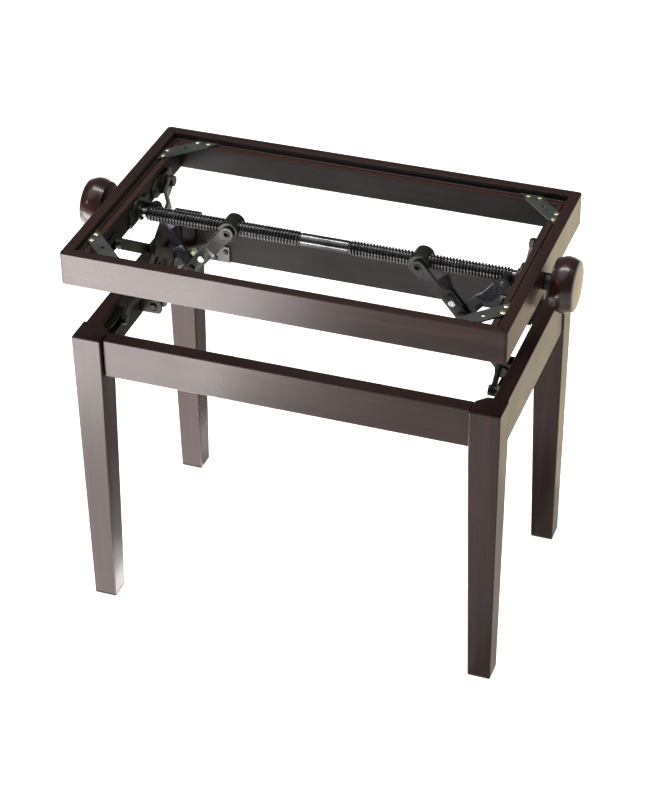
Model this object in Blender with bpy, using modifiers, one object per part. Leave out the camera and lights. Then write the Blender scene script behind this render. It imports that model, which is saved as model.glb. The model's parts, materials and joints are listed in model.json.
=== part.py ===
"""Height-adjustable piano bench frame, without its seat pad.

Frame of the model: +X to the right along the bench, +Y to the back, +Z up,
origin on the floor under the middle of the bench. All sizes are in metres.

A spindle with a right-hand and a left-hand thread runs along X inside the seat
frame. It moves two barrel nuts apart, and each nut lifts the seat through a
drive arm and a toggle link. A scissor at each end keeps the seat level. The
left lifting unit is the right one turned half a turn about Z.
"""

from math import asin, atan2, cos, hypot, pi, radians, sin, sqrt

import bmesh
import bpy
from mathutils import Matrix, Vector

# Driving dimensions ---------------------------------------------------------
GAP = 0.0003

SEAT_LENGTH = 0.550
SEAT_DEPTH = 0.336
SEAT_TOP = 0.517
RAIL_HEIGHT = 0.042
RAIL_WIDTH = 0.0265
RIM_WIDTH = 0.014
RIM_DEPTH = 0.0085
SEAT_CORNER_RADIUS = 0.0045
GROOVE_INSET = 0.0030
GROOVE_WIDTH = 0.0018
RAIL_HOLE_RADIUS = 0.0073
RAIL_EDGE = 0.0006

BASE_LENGTH = 0.540
BASE_DEPTH = 0.330
LEG_TOP = 0.399
LEG_SIZE = 0.038
FOOT_SIZE = 0.0295
FOOT_INSET = 0.002
LEG_CHAMFER = 0.012
APRON_TOP = 0.397
FRONT_APRON_HEIGHT = 0.052
SIDE_APRON_HEIGHT = 0.060
FRONT_APRON_SETBACK = 0.0065
FRONT_APRON_THICKNESS = 0.020
SIDE_APRON_SETBACK = 0.002
SIDE_APRON_THICKNESS = 0.018
LEG_EDGE = 0.0012
APRON_EDGE = 0.0010

PLATE_THICKNESS = 0.002
PLATE_BAND = (0.352, 0.380)
PLATE_HOLE_OFFSET = 0.106
PLATE_HOLE_RADIUS = 0.0024
LEG_PLATE_HEIGHT = (0.3455, 0.3690)
LEG_PLATE_START = 0.184
LEG_PLATE_BEND = 0.218
LEG_PLATE_SIDE = 0.0125
LEG_BOLT_HEIGHT = 0.3600
BOLT_RADIUS = 0.0040
BOLT_HOLE_RADIUS = 0.0044
BOLT_REACH = 0.036
BOLT_HOLE_DEPTH = 0.040
BOLT_HEX_RADIUS = 0.0075
BOLT_HEX_HEIGHT = 0.0055
WASHER_RADIUS = 0.009
WASHER_THICKNESS = 0.0015

SPINDLE_HEIGHT = 0.4875
THREAD_RADIUS = 0.0095
SPINDLE_RADIUS = 0.008
JOURNAL_RADIUS = 0.0065
THREAD_START = 0.031
THREAD_END = 0.2350
SPINDLE_END = 0.300
RUNNING = 0.00015

LINK_X = 0.230
NUT_X = 0.122
ARM_LENGTH = 0.170
ARM_HALF_WIDTH = 0.0085
ARM_THICKNESS = 0.004
ARM_OUTER_Y = 0.0165
ARM_INNER_Y = 0.0047
ARM_JOG = (0.036, 0.050)
SPACER_POSITION = 0.064
SPACER_RADIUS = 0.0048
RIVET_RADIUS = 0.0026
RIVET_HEAD = (0.0042, 0.0014)
LINK_HALF_WIDTH = 0.008
LINK_THICKNESS = 0.0035
LINK_HEAD_Y = -0.016
LINK_JOG = (0.034, 0.054)
PIN_RADIUS = 0.004
PIN_HEAD = (0.0070, 0.0030)
FOOT_PIN_HEAD = 0.0024
FOOT_PIN_TAIL = 0.0021

NUT_RADIUS = 0.013
NUT_HALF_LENGTH = 0.0138
NUT_STUD_RADIUS = 0.005

BEARING_THICKNESS = 0.0035
BEARING_HALF_LENGTH = 0.028
BEARING_HALF_HEIGHT = 0.010
BEARING_DOME_RADIUS = 0.018
BEARING_BOSS = (0.0105, 0.004)
LUG_RADIUS = 0.008
LUG_SPAN = (-0.0135, -0.0105)

CLEVIS_START = 0.2190
CLEVIS_HEIGHT = (0.3465, 0.3668)
CLEVIS_THICKNESS = 0.0025
CLEVIS_CORNER_RADIUS = 0.006

SCISSOR_PIVOT_Y = -0.084
SCISSOR_SPREAD = 0.1633
PIVOT_PLATE_SHIFT = 0.0085
SCISSOR_LOW_Z = 0.378
SCISSOR_HALF_WIDTH = 0.007
SCISSOR_THICKNESS = 0.004
SCISSOR_INNER_X = 0.230
SCISSOR_OUTER_X = 0.238
SCISSOR_JOG = (0.020, 0.034)
SCISSOR_RIVET_HEAD = (0.0060, 0.0022)
ROLLER_RADIUS = 0.005
PIVOT_PLATE_HALF_HEIGHT = 0.0135
PIVOT_PLATE_REACH = (-0.023, 0.040)
PIVOT_PRESSING = ((-0.0075, -0.0060), (0.0110, 0.0140))
PIVOT_PLATE_TIP = (0.0310, 0.0060)
PIVOT_PLATE_SHOULDER = (0.0170, 0.0130)
UPPER_PIVOT_BULGE = 0.0040
LOWER_PIVOT_BULGE = 0.0030
UPPER_SHOULDER_RADIUS = 0.0060
LOWER_SHOULDER_RADIUS = 0.0070
PIVOT_HEAD = (0.0068, 0.0029)
CHANNEL_SPAN = (0.064, 0.114)
CHANNEL_WALL = 0.0015

KNOB_RADIUS = 0.0342
KNOB_BACK_RADIUS = 0.0300
KNOB_FACE_RADIUS = 0.0312
KNOB_START = 0.2858
KNOB_END = 0.3132
KNOB_DOME = 0.0012
KNOB_BELLY = (0.0075, 0.0015, -0.0060)
COLLAR_RADIUS = 0.0105

# How far a cutter stands out of what it cuts: past a face, and through a piece
CUT_MARGIN = 0.01
CUT_REACH = 0.05

# Sides of the turned shapes: large ones, and pins and holes
LARGE_STEPS = 24
STEPS = 16

# Sizes that follow from them ------------------------------------------------
SEAT_INNER_X = SEAT_LENGTH / 2 - RAIL_WIDTH
SEAT_INNER_Y = SEAT_DEPTH / 2 - RAIL_WIDTH
SEAT_BOTTOM = SEAT_TOP - RAIL_HEIGHT
LEDGE_Z = SEAT_TOP - RIM_DEPTH
FRONT_APRON_BOTTOM = APRON_TOP - FRONT_APRON_HEIGHT
SIDE_APRON_BOTTOM = APRON_TOP - SIDE_APRON_HEIGHT
BASE_INNER_X = BASE_LENGTH / 2 - SIDE_APRON_SETBACK - SIDE_APRON_THICKNESS
BASE_INNER_Y = BASE_DEPTH / 2 - FRONT_APRON_SETBACK - FRONT_APRON_THICKNESS
HALF_ARM = ARM_LENGTH / 2
ARM_ANGLE = atan2(sqrt(ARM_LENGTH**2 - (LINK_X - NUT_X) ** 2), LINK_X - NUT_X)
ELBOW_X = LINK_X - HALF_ARM * cos(ARM_ANGLE)
ELBOW_Z = SPINDLE_HEIGHT - HALF_ARM * sin(ARM_ANGLE)
FOOT_Z = SPINDLE_HEIGHT - ARM_LENGTH * sin(ARM_ANGLE)
SCISSOR_RISE = SPINDLE_HEIGHT - SCISSOR_LOW_Z
SCISSOR_LENGTH = hypot(SCISSOR_SPREAD, SCISSOR_RISE)
SCISSOR_ANGLE = asin(SCISSOR_RISE / SCISSOR_LENGTH)
CROSS_Y = SCISSOR_PIVOT_Y + SCISSOR_SPREAD / 2
CROSS_Z = (SPINDLE_HEIGHT + SCISSOR_LOW_Z) / 2
SCISSOR_INNER_LOW = SCISSOR_INNER_X - SCISSOR_THICKNESS / 2
SCISSOR_INNER_HIGH = SCISSOR_INNER_X + SCISSOR_THICKNESS / 2
SCISSOR_OUTER_LOW = SCISSOR_OUTER_X - SCISSOR_THICKNESS / 2
SCISSOR_OUTER_HIGH = SCISSOR_OUTER_X + SCISSOR_THICKNESS / 2

# How far an opened pivot of the closed linkages may wander over the travel.
FOOT_SLACK = 0.0024
CLEVIS_PLAY = 0.0005
SCISSOR_SLACK = 0.0013

MATERIALS = {
    "wood": ((0.055, 0.028, 0.022, 1.0), 0.35, 0.0),
    "knob_wood": ((0.060, 0.020, 0.016, 1.0), 0.22, 0.0),
    "black_steel": ((0.030, 0.030, 0.033, 1.0), 0.40, 0.60),
    "black_gloss": ((0.012, 0.012, 0.014, 1.0), 0.25, 0.70),
    "black_plastic": ((0.010, 0.010, 0.010, 1.0), 0.50, 0.0),
    "zinc": ((0.72, 0.72, 0.68, 1.0), 0.28, 1.0),
}


def clear_scene():
    """Take away whatever the scene starts with."""
    for obj in list(bpy.data.objects):
        bpy.data.objects.remove(obj, do_unlink=True)


def make_collection(name):
    """A new collection in the scene."""
    collection = bpy.data.collections.new(name)
    bpy.context.scene.collection.children.link(collection)
    return collection


clear_scene()
PARTS = make_collection("piano_bench")
CUTTERS = make_collection("cutters")


def make_material(name, slot):
    """A Principled material for one part, in the finish that its slot names."""
    colour, roughness, metallic = MATERIALS[slot]
    material = bpy.data.materials.new(name)
    material.use_nodes = True
    shader = material.node_tree.nodes["Principled BSDF"]
    shader.inputs["Base Color"].default_value = colour
    shader.inputs["Roughness"].default_value = roughness
    shader.inputs["Metallic"].default_value = metallic
    return material


# Placing and combining ------------------------------------------------------
def add_object(name, mesh, place, turn=None, parent=None, slot=None):
    """Put a mesh into the scene as a part, or as a cutter when it has no slot."""
    obj = bpy.data.objects.new(name, mesh)
    obj.location = place
    if turn is not None:
        obj.rotation_euler = turn.to_euler()
    obj.parent = parent
    if slot is None:
        CUTTERS.objects.link(obj)
        obj.hide_render = True
        obj.display_type = "WIRE"
    else:
        PARTS.objects.link(obj)
        obj.data.materials.append(make_material(name, slot))
    return obj


def combine(obj, tool, operation):
    """Cut the tool out of the object, add it, or keep what they share."""
    modifier = obj.modifiers.new(tool.name, "BOOLEAN")
    modifier.operation = operation
    modifier.object = tool
    modifier.solver = "EXACT"


def soften(obj, width):
    """A one-segment chamfer along the sharp edges of a wooden piece."""
    bevel = obj.modifiers.new("edges", "BEVEL")
    bevel.width = width
    bevel.segments = 1
    bevel.limit_method = "ANGLE"
    bevel.angle_limit = radians(40)


def side_plane(angle=0.0):
    """Turn that stands a local XY outline in the YZ plane, local Z along +X."""
    return (
        Matrix.Rotation(angle, 4, "X")
        @ Matrix.Rotation(pi / 2, 4, "Z")
        @ Matrix.Rotation(pi / 2, 4, "X")
    )


def front_plane():
    """Turn that stands a local XY outline in the XZ plane, local Z along -Y."""
    return Matrix.Rotation(pi / 2, 4, "X")


def along_x():
    """Turn that lays a turned shape's axis along +X."""
    return Matrix.Rotation(pi / 2, 4, "Y")


def along_y():
    """Turn that lays a turned shape's axis along +Y."""
    return Matrix.Rotation(-pi / 2, 4, "X")


# Basic shapes ---------------------------------------------------------------
def box(name, low, high, parent=None, slot=None):
    """A block between two corners, with its origin in its middle."""
    low, high = Vector(low), Vector(high)
    size = high - low
    mesh = bpy.data.meshes.new(name)
    shape = bmesh.new()
    bmesh.ops.create_cube(shape, size=1.0, matrix=Matrix.Diagonal((*size, 1.0)))
    shape.to_mesh(mesh)
    shape.free()
    return add_object(name, mesh, (low + high) / 2, None, parent, slot)


def finished_mesh(draft, name):
    """The evaluated mesh of a draft object, welded and facing out; the draft goes."""
    bpy.context.scene.collection.objects.link(draft)
    bpy.context.view_layer.update()
    evaluated = draft.evaluated_get(bpy.context.evaluated_depsgraph_get())
    mesh = bpy.data.meshes.new_from_object(evaluated)
    bpy.data.objects.remove(draft, do_unlink=True)
    mesh.name = name
    shape = bmesh.new()
    shape.from_mesh(mesh)
    bmesh.ops.remove_doubles(shape, verts=shape.verts, dist=0.00001)
    bmesh.ops.recalc_face_normals(shape, faces=shape.faces)
    shape.to_mesh(mesh)
    shape.free()
    mesh.shade_smooth()
    mesh.set_sharp_from_angle(angle=radians(35))
    return mesh


def turned(name, profile, place, turn=None, parent=None, slot=None, steps=STEPS):
    """A turned shape from (radius, height) points, down its outer side."""
    mesh = bpy.data.meshes.new(name + "_profile")
    shape = bmesh.new()
    points = [shape.verts.new((radius, 0.0, height)) for radius, height in profile]
    for first, second in zip(points, points[1:]):
        shape.edges.new((first, second))
    if profile[0][0] > 0.0:
        shape.edges.new((points[-1], points[0]))
    shape.to_mesh(mesh)
    shape.free()
    draft = bpy.data.objects.new(name + "_profile", mesh)
    screw = draft.modifiers.new("turn", "SCREW")
    screw.axis = "Z"
    screw.steps = steps
    screw.render_steps = steps
    screw.use_merge_vertices = True
    screw.merge_threshold = 0.00001
    return add_object(name, finished_mesh(draft, name), place, turn, parent, slot)


def rod_profile(*sections):
    """A turned profile of (radius, bottom, top) sections, listed from the top."""
    profile = [(0.0, sections[0][2])]
    for radius, bottom, top in sections:
        profile += [(radius, top), (radius, bottom)]
    profile.append((0.0, sections[-1][1]))
    return profile


def outline(name, points, low, high, place, turn=None, parent=None, slot=None):
    """A flat outline with a thickness from low to high along its local Z."""
    curve = bpy.data.curves.new(name, "CURVE")
    curve.dimensions = "2D"
    curve.fill_mode = "BOTH"
    curve.extrude = (high - low) / 2
    spline = curve.splines.new("POLY")
    spline.points.add(len(points) - 1)
    for point, (x, y) in zip(spline.points, points):
        point.co = (x, y, 0.0, 1.0)
    spline.use_cyclic_u = True
    mesh = finished_mesh(bpy.data.objects.new(name + "_outline", curve), name)
    mesh.transform(Matrix.Translation((0.0, 0.0, (low + high) / 2)))
    return add_object(name, mesh, place, turn, parent, slot)


def arc(centre, radius, start, end, steps=6):
    """Points of a circular arc, angles in degrees."""
    angles = [radians(start + (end - start) * step / steps) for step in range(steps + 1)]
    return [(centre[0] + radius * cos(a), centre[1] + radius * sin(a)) for a in angles]


def stadium(start, end, radius):
    """A bar along local X with round ends about its two end centres."""
    return arc((end, 0.0), radius, -90, 90) + arc((start, 0.0), radius, 90, 270)


def strip(path, thickness):
    """The outline of a bent sheet whose middle follows a path."""
    points = [Vector(point) for point in path]
    directions = [(b - a).normalized() for a, b in zip(points, points[1:])]
    normals = [Vector((-d.y, d.x)) for d in directions]
    left, right = [], []
    for index, point in enumerate(points):
        before = normals[max(index - 1, 0)]
        after = normals[min(index, len(normals) - 1)]
        mitre = (before + after).normalized()
        offset = mitre * (thickness / 2 / mitre.dot(after))
        left.append(tuple(point + offset))
        right.append(tuple(point - offset))
    return left + right[::-1]


# Wooden pieces --------------------------------------------------------------
def build_leg(name, sx, sy):
    """A square leg, tapered on its two inner faces below the aprons."""
    size = LEG_SIZE / 2
    mesh = bpy.data.meshes.new(name)
    shape = bmesh.new()
    bmesh.ops.create_cube(shape, size=1.0, matrix=Matrix.Diagonal((LEG_SIZE, LEG_SIZE, LEG_TOP, 1.0)))
    bmesh.ops.translate(shape, verts=shape.verts, vec=(0.0, 0.0, LEG_TOP / 2))
    everything = shape.verts[:] + shape.edges[:] + shape.faces[:]
    knee = (0.0, 0.0, SIDE_APRON_BOTTOM)
    bmesh.ops.bisect_plane(shape, geom=everything, plane_co=knee, plane_no=(0.0, 0.0, 1.0))
    for vert in shape.verts:
        if vert.co.z < GAP:
            for axis, sign in enumerate((sx, sy)):
                outer = size - FOOT_INSET
                is_outer = vert.co[axis] * sign > 0
                vert.co[axis] = sign * (outer if is_outer else outer - FOOT_SIZE)
    shape.to_mesh(mesh)
    shape.free()
    x = sx * (BASE_LENGTH / 2 - size)
    y = sy * (BASE_DEPTH / 2 - size)
    leg = add_object(name, mesh, (x, y, 0.0), slot="wood")
    low = (-LEG_CHAMFER, -LEG_CHAMFER, SIDE_APRON_BOTTOM)
    high = (LEG_CHAMFER, LEG_CHAMFER, LEG_TOP + CUT_MARGIN)
    chamfer = box(name + "_chamfer", low, high)
    corner = Vector((sx * (BASE_LENGTH / 2 - LEG_SIZE), sy * (BASE_DEPTH / 2 - LEG_SIZE)))
    inward = Vector((-sx, -sy)).normalized() * LEG_CHAMFER * (1 - 1 / sqrt(2))
    chamfer.location.x, chamfer.location.y = corner + inward
    chamfer.rotation_euler.z = pi / 4
    combine(leg, chamfer, "DIFFERENCE")
    soften(leg, LEG_EDGE)
    profile = rod_profile((BOLT_HOLE_RADIUS, 0.0, BOLT_HOLE_DEPTH))
    hole = turned(name + "_hole", profile, bolt_seat(sx, sy), bolt_turn(sx, sy))
    combine(leg, hole, "DIFFERENCE")


def build_aprons():
    """Front, back and side aprons between the legs."""
    reach_x = BASE_LENGTH / 2 - LEG_SIZE - GAP
    reach_y = BASE_DEPTH / 2 - LEG_SIZE - GAP
    outer_y = BASE_INNER_Y + FRONT_APRON_THICKNESS
    outer_x = BASE_INNER_X + SIDE_APRON_THICKNESS
    for name, sign in (("apron_front", -1), ("apron_back", 1)):
        near, far = sorted((sign * BASE_INNER_Y, sign * outer_y))
        apron = box(name, (-reach_x, near, FRONT_APRON_BOTTOM), (reach_x, far, APRON_TOP), slot="wood")
        soften(apron, APRON_EDGE)
    for name, sign in (("apron_left", -1), ("apron_right", 1)):
        near, far = sorted((sign * BASE_INNER_X, sign * outer_x))
        apron = box(name, (near, -reach_y, SIDE_APRON_BOTTOM), (far, reach_y, APRON_TOP), slot="wood")
        soften(apron, APRON_EDGE)


def rail_profile():
    """Section of a seat rail: distance in from the outer face, and height."""
    groove = RIM_WIDTH + GROOVE_INSET
    return [
        (0.0, SEAT_BOTTOM),
        (0.0, SEAT_TOP),
        (RIM_WIDTH, SEAT_TOP),
        (RIM_WIDTH, LEDGE_Z),
        (groove, LEDGE_Z),
        (groove, LEDGE_Z - GROOVE_WIDTH),
        (groove + GROOVE_WIDTH, LEDGE_Z - GROOVE_WIDTH),
        (groove + GROOVE_WIDTH, LEDGE_Z),
        (RAIL_WIDTH, LEDGE_Z),
        (RAIL_WIDTH, SEAT_BOTTOM),
    ]


def mitre_cutter(name, end, sign):
    """A block that takes a rail's end off along the 45 degree mitre."""
    size = 2 * RAIL_WIDTH
    low = (-size, -size, SEAT_BOTTOM - CUT_MARGIN)
    cutter = box(name, low, (size, size, SEAT_TOP + CUT_MARGIN))
    normal = Vector((sign, 1.0)).normalized()
    middle = Vector((sign * end, 0.0)) + normal * (size - GAP / 2)
    cutter.location.x, cutter.location.y = middle
    cutter.rotation_euler.z = atan2(normal.y, normal.x)
    return cutter


def rounded_rectangle(length, depth, radius):
    """The outline of a rectangle with rounded corners, centred on its middle."""
    x, y = length / 2 - radius, depth / 2 - radius
    corners = (((x, -y), -90), ((x, y), 0), ((-x, y), 90), ((-x, -y), 180))
    points = []
    for centre, start in corners:
        points += arc(centre, radius, start, start + 90, 3)
    return points


def build_seat_rails():
    """Four mitred rails with a rabbet for the pad and a small groove."""
    points = rounded_rectangle(SEAT_LENGTH, SEAT_DEPTH, SEAT_CORNER_RADIUS)
    low, high = SEAT_BOTTOM - CUT_MARGIN, SEAT_TOP + CUT_MARGIN
    edge = outline("seat_edge", points, low, high, (0, 0, 0))
    sides = (
        ("seat_rail_front", 0.0, SEAT_LENGTH, SEAT_DEPTH),
        ("seat_rail_right", pi / 2, SEAT_DEPTH, SEAT_LENGTH),
        ("seat_rail_back", pi, SEAT_LENGTH, SEAT_DEPTH),
        ("seat_rail_left", -pi / 2, SEAT_DEPTH, SEAT_LENGTH),
    )
    for name, angle, length, across in sides:
        frame = bpy.data.objects.new(name + "_frame", None)
        frame.rotation_euler.z = angle
        frame.location = Matrix.Rotation(angle, 4, "Z") @ Vector((0.0, -across / 2, 0.0))
        CUTTERS.objects.link(frame)
        half = length / 2
        rail = outline(name, rail_profile(), -half, half, (0, 0, 0), side_plane(), frame, "wood")
        for sign in (-1, 1):
            cutter = mitre_cutter(f"{name}_mitre_{sign + 1}", half, sign)
            cutter.parent = frame
            combine(rail, cutter, "DIFFERENCE")
        combine(rail, edge, "INTERSECT")
        if across == SEAT_LENGTH:
            profile = rod_profile((RAIL_HOLE_RADIUS, -CUT_REACH, CUT_REACH))
            place = (0.0, 0.0, SPINDLE_HEIGHT)
            hole = turned(name + "_bore", profile, place, along_y(), frame)
            combine(rail, hole, "DIFFERENCE")
        soften(rail, RAIL_EDGE)


# Corner hardware ------------------------------------------------------------
def build_seat_plate(name, sx, sy):
    """A steel plate across a corner of the seat frame, lying on the ledge."""
    reach_x = SEAT_LENGTH / 2 - RIM_WIDTH - 3 * GAP
    reach_y = SEAT_DEPTH / 2 - RIM_WIDTH - 2 * GAP
    inner, outer = PLATE_BAND
    points = [
        (reach_x, inner - reach_x),
        (reach_x, outer - reach_x),
        (outer - reach_y, reach_y),
        (inner - reach_y, reach_y),
    ]
    points = [(sx * x, sy * y) for x, y in points]
    low = LEDGE_Z + GAP
    plate = outline(name, points, low, low + PLATE_THICKNESS, (0, 0, 0), slot="black_steel")
    middle = (inner + outer) / 2
    x, y = (middle + PLATE_HOLE_OFFSET) / 2, (middle - PLATE_HOLE_OFFSET) / 2
    profile = rod_profile((PLATE_HOLE_RADIUS, -CUT_MARGIN, CUT_MARGIN))
    hole = turned(name + "_hole", profile, (sx * x, sy * y, LEDGE_Z))
    combine(plate, hole, "DIFFERENCE")


def leg_plate_path():
    """Middle line of the corner plate that ties two aprons to a leg."""
    face_y = BASE_INNER_Y - GAP - PLATE_THICKNESS / 2
    face_x = BASE_INNER_X - GAP - PLATE_THICKNESS / 2
    side_y = face_y - (face_x - LEG_PLATE_BEND)
    return [
        (LEG_PLATE_START, face_y),
        (LEG_PLATE_BEND, face_y),
        (face_x, side_y),
        (face_x, side_y + LEG_PLATE_SIDE),
    ]


def bolt_seat(sx, sy):
    """Where a leg bolt crosses the middle of its corner plate."""
    _, bend, corner, _ = leg_plate_path()
    x, y = (bend[0] + corner[0]) / 2, (bend[1] + corner[1]) / 2
    return Vector((sx * x, sy * y, LEG_BOLT_HEIGHT))


def bolt_turn(sx, sy):
    """Turn that points a bolt from the corner plate into its leg."""
    return Matrix.Rotation(atan2(sy, sx), 4, "Z") @ Matrix.Rotation(pi / 2, 4, "Y")


def build_leg_plate(name, sx, sy):
    """A bent steel plate behind a leg."""
    points = [(sx * x, sy * y) for x, y in strip(leg_plate_path(), PLATE_THICKNESS)]
    low, high = LEG_PLATE_HEIGHT
    plate = outline(name, points, low, high, (0, 0, 0), slot="black_steel")
    profile = rod_profile((BOLT_HOLE_RADIUS, -CUT_MARGIN, CUT_MARGIN))
    hole = turned(name + "_hole", profile, bolt_seat(sx, sy), bolt_turn(sx, sy))
    combine(plate, hole, "DIFFERENCE")


def build_leg_bolt(name, sx, sy):
    """A hex bolt with a washer face, through the corner plate into the leg."""
    face = -PLATE_THICKNESS / 2 - GAP
    back = face - WASHER_THICKNESS
    place, turn = bolt_seat(sx, sy), bolt_turn(sx, sy)
    profile = rod_profile((BOLT_RADIUS, face, BOLT_REACH), (WASHER_RADIUS, back, face))
    bolt = turned(name, profile, place, turn, slot="zinc")
    profile = rod_profile((BOLT_HEX_RADIUS, back - BOLT_HEX_HEIGHT, back + GAP))
    head = turned(name + "_hex", profile, place, turn, steps=6)
    combine(bolt, head, "UNION")


# Lifting unit, written for the right-hand side ------------------------------
def build_pivot_bracket(name, side, wall, height, bulge, shoulder_radius):
    """A pressed plate with pointed ends and the fixed pivot of a scissor arm."""
    face = wall - GAP - PLATE_THICKNESS / 2
    start, end = PIVOT_PLATE_REACH
    (rise_start, rise_end), (fall_start, fall_end) = PIVOT_PRESSING
    path = [(start, 0.0), (rise_start, 0.0), (rise_end, bulge)]
    path += [(fall_start, bulge), (fall_end, 0.0), (end, 0.0)]
    points = strip([(face - inward, SCISSOR_PIVOT_Y + y) for y, inward in path], PLATE_THICKNESS)
    half = PIVOT_PLATE_HALF_HEIGHT
    plate = outline(name, points, -half, half, (0, 0, height), None, side, "black_steel")
    tip, tip_half = PIVOT_PLATE_TIP
    shoulder, half = PIVOT_PLATE_SHOULDER
    edge = [(tip, -tip_half), (tip, tip_half), (shoulder, half), (-shoulder, half)]
    shape = edge + [(-x, -y) for x, y in edge]
    place = (wall, SCISSOR_PIVOT_Y + PIVOT_PLATE_SHIFT, height)
    trim = outline(name + "_trim", shape, -CUT_REACH, CUT_MARGIN, place, side_plane(), side)
    combine(plate, trim, "INTERSECT")
    head_radius, head_height = PIVOT_HEAD
    head = SCISSOR_OUTER_LOW - RUNNING
    shoulder = SCISSOR_OUTER_HIGH + GAP
    profile = rod_profile(
        (shoulder_radius, shoulder, face - bulge),
        (PIN_RADIUS, head, shoulder),
        (head_radius, head - head_height, head),
    )
    pin = turned(name + "_stud", profile, (0.0, SCISSOR_PIVOT_Y, height), along_x(), side)
    combine(plate, pin, "UNION")


def build_channel(name, side, wall, height, slack):
    """A C-section that guides the roller of a scissor arm."""
    back = wall - GAP - CHANNEL_WALL / 2
    lip = SCISSOR_OUTER_HIGH + 3 * GAP
    half = ROLLER_RADIUS + slack + CHANNEL_WALL / 2
    path = [(lip, -half), (back, -half), (back, half), (lip, half)]
    points = strip(path, CHANNEL_WALL)
    start, end = CHANNEL_SPAN
    outline(name, points, -end, -start, (0, 0, height), front_plane(), side, "black_steel")


def build_bearing(name, side):
    """The spindle's bearing plate, with the lug that the toggle link hangs on."""
    face = SEAT_INNER_X - GAP
    back = face - BEARING_THICKNESS
    length, height = BEARING_HALF_LENGTH, BEARING_HALF_HEIGHT
    dome = arc((0.0, 0.0), BEARING_DOME_RADIUS, 35, 145)
    plate_points = [(-length, -height), (length, -height), (length, height)]
    plate_points += [(dome[0][0], height)] + dome + [(dome[-1][0], height), (-length, height)]
    place = (0.0, 0.0, SPINDLE_HEIGHT)
    plate = outline(name, plate_points, back, face, place, side_plane(), side, "black_steel")
    radius, depth = BEARING_BOSS
    profile = rod_profile((radius, back - depth, back + GAP))
    boss = turned(name + "_boss", profile, place, along_x(), side)
    combine(plate, boss, "UNION")
    root = face - BEARING_THICKNESS / 2
    lug_points = arc((LINK_X, 0.0), LUG_RADIUS, 90, 270) + [(root, -LUG_RADIUS), (root, LUG_RADIUS)]
    low, high = LUG_SPAN
    lug = outline(name + "_lug", lug_points, -high, -low, place, front_plane(), side)
    combine(plate, lug, "UNION")
    radius, depth = PIN_HEAD
    outer = LINK_HEAD_Y - LINK_THICKNESS / 2 - RUNNING
    profile = rod_profile((PIN_RADIUS, outer, (low + high) / 2), (radius, outer - depth, outer))
    stud = turned(name + "_stud", profile, (LINK_X, 0.0, SPINDLE_HEIGHT), along_y(), side)
    combine(plate, stud, "UNION")
    profile = rod_profile((JOURNAL_RADIUS + RUNNING, back - CUT_REACH, face + CUT_REACH))
    bore = turned(name + "_bore", profile, place, along_x(), side)
    combine(plate, bore, "DIFFERENCE")


def build_clevis(name, side):
    """The U bracket on the side apron that holds the foot of the drive arm."""
    half = CLEVIS_THICKNESS / 2
    cheek = ARM_INNER_Y + ARM_THICKNESS / 2 + CLEVIS_PLAY + half
    back = BASE_INNER_X - GAP - half
    path = [(CLEVIS_START, -cheek), (back, -cheek), (back, cheek), (CLEVIS_START, cheek)]
    low, high = CLEVIS_HEIGHT
    points = strip(path, CLEVIS_THICKNESS)
    clevis = outline(name, points, low, high, (0, 0, 0), None, side, "black_steel")
    radius = CLEVIS_CORNER_RADIUS
    x = CLEVIS_START + radius
    shape = [(BASE_INNER_X, low), (BASE_INNER_X, high)]
    shape += arc((x, high - radius), radius, 90, 180, 3) + arc((x, low + radius), radius, 180, 270, 3)
    reach = 2 * cheek
    trim = outline(name + "_trim", shape, -reach, reach, (0, 0, 0), front_plane(), side)
    combine(clevis, trim, "INTERSECT")
    slot_points = [(x, z) for z, x in stadium(-FOOT_SLACK, FOOT_SLACK, PIN_RADIUS + RUNNING)]
    place = (LINK_X, 0.0, FOOT_Z)
    slot = outline(name + "_slot", slot_points, -reach, reach, place, front_plane(), side)
    combine(clevis, slot, "DIFFERENCE")


def bent_bar(name, side, place, turn, path, section, holes):
    """A flat bar, bent through its thickness, with round ends and holes.

    Local X runs along the bar and local Y through its thickness. The path is
    the bar's middle line in that plane, the section is half its width and its
    thickness, and holes are a distance along it and a radius.
    """
    half_width, thickness = section
    points = strip(path, thickness)
    bar = outline(name, points, -half_width, half_width, place, turn, side, "black_steel")
    ends = stadium(path[0][0] + half_width, path[-1][0] - half_width, half_width)
    sideways = [y for _, y in path]
    low, high = min(sideways) - CUT_MARGIN, max(sideways) + CUT_MARGIN
    trim = outline(name + "_ends", ends, -high, -low, place, turn @ front_plane(), side)
    combine(bar, trim, "INTERSECT")
    for number, (distance, radius) in enumerate(holes):
        spot = Vector(place) + turn.to_3x3() @ Vector((distance, 0.0, 0.0))
        profile = rod_profile((radius, low, high))
        hole = turned(f"{name}_hole_{number}", profile, spot, turn @ along_y(), side)
        combine(bar, hole, "DIFFERENCE")
    return bar


def build_drive_arms(suffix, side):
    """The two bars from the nut down to the foot, close together below."""
    head, foot = -HALF_ARM, HALF_ARM
    start, end = ARM_JOG
    turn = Matrix.Rotation(ARM_ANGLE, 4, "Y")
    holes = [
        (head, NUT_STUD_RADIUS + RUNNING),
        (head + SPACER_POSITION, RIVET_RADIUS + RUNNING),
        (0.0, PIN_RADIUS + RUNNING),
        (foot, PIN_RADIUS + RUNNING),
    ]
    for letter, sign in (("a", -1), ("b", 1)):
        path = [
            (head - ARM_HALF_WIDTH, sign * ARM_OUTER_Y),
            (head + start, sign * ARM_OUTER_Y),
            (head + end, sign * ARM_INNER_Y),
            (foot + ARM_HALF_WIDTH, sign * ARM_INNER_Y),
        ]
        name = f"drive_arm_{suffix}_{letter}"
        section = (ARM_HALF_WIDTH, ARM_THICKNESS)
        bent_bar(name, side, (ELBOW_X, 0.0, ELBOW_Z), turn, path, section, holes)


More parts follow.
